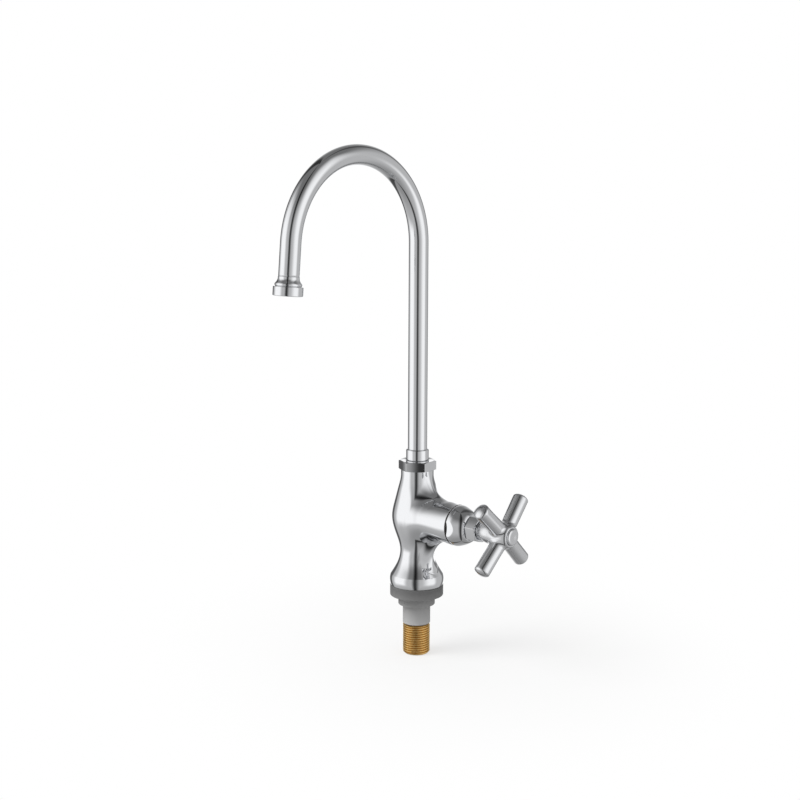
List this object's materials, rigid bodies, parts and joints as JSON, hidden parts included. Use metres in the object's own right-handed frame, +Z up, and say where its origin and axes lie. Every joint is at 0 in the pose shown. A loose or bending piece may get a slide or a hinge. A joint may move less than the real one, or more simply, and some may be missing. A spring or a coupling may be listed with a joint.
{
  "type": "deck-mounted basin tap",
  "caption": "Deck-mounted basin tap: turned column body, tall swivelling swan-neck spout with aerator, side cross handle, stepped grey deck collar and threaded inlet tail.",
  "frame": {"origin": "on the body's upright axis, in the deck face (the underside of the grey collar's flange)", "axes": "+Z up along the column and the riser; -Y towards the outlet with the spout at rest; +X along the valve axis towards the cross handle"},
  "size_m": [0.1163, 0.1718, 0.3912],
  "materials": {
    "chrome_plate": "polished chrome plate on brass",
    "unplated_brass": "machined, unplated",
    "grey_moulding": "moulded, matte",
    "rubber": "moulded",
    "fibre": "pressed fibre",
    "packing": "wound thread-seal cord",
    "nylon": "moulded",
    "acetal": "moulded",
    "stainless_mesh": "woven wire",
    "plated_steel": "zinc plated",
    "index_plate": "polished, bare"
  },
  "bodies": {
    "tap_body": {"body": "chrome_plate", "inlet_tail": "unplated_brass", "deck_collar": "grey_moulding", "valve_seat": "unplated_brass", "bonnet": "chrome_plate", "bonnet_washer": "fibre", "gland_packing": "packing", "gland_follower": "unplated_brass", "packing_nut": "chrome_plate", "spout_bush": "nylon", "thrust_washer": "nylon", "spout_nut": "chrome_plate"},
    "spout": {"spout_tail": "chrome_plate", "spout_o_rings": "rubber", "spout_tube": "chrome_plate", "outlet_bell": "chrome_plate", "aerator_housing": "chrome_plate", "aerator_washer": "rubber", "aerator_insert": "acetal", "aerator_screen": "stainless_mesh"},
    "jumper": {"jumper": "unplated_brass", "valve_washer": "rubber", "washer_nut": "unplated_brass"},
    "handle": {"spindle": "unplated_brass", "handle": "chrome_plate", "handle_screw": "plated_steel", "index_button": "index_plate"}
  },
  "joints": [
    {"name": "spout_swivel", "type": "hinge", "parent": "tap_body", "child": "spout", "pos_m": [0, 0, 0.09], "axis": [0, 0, 1], "continuous": true},
    {"name": "valve_lift", "type": "slide", "parent": "tap_body", "child": "jumper", "axis": [1, 0, 0], "range_m": [0, 0.0032]},
    {"name": "handle_turn", "type": "hinge", "parent": "jumper", "child": "handle", "pos_m": [0.0858, 0, 0.0622], "axis": [1, 0, 0], "range_deg": [0, 450]}
  ],
  "couplings": [
    {"joint": "valve_lift", "follows": "handle_turn", "m_per_rad": 0.00039789}
  ]
}
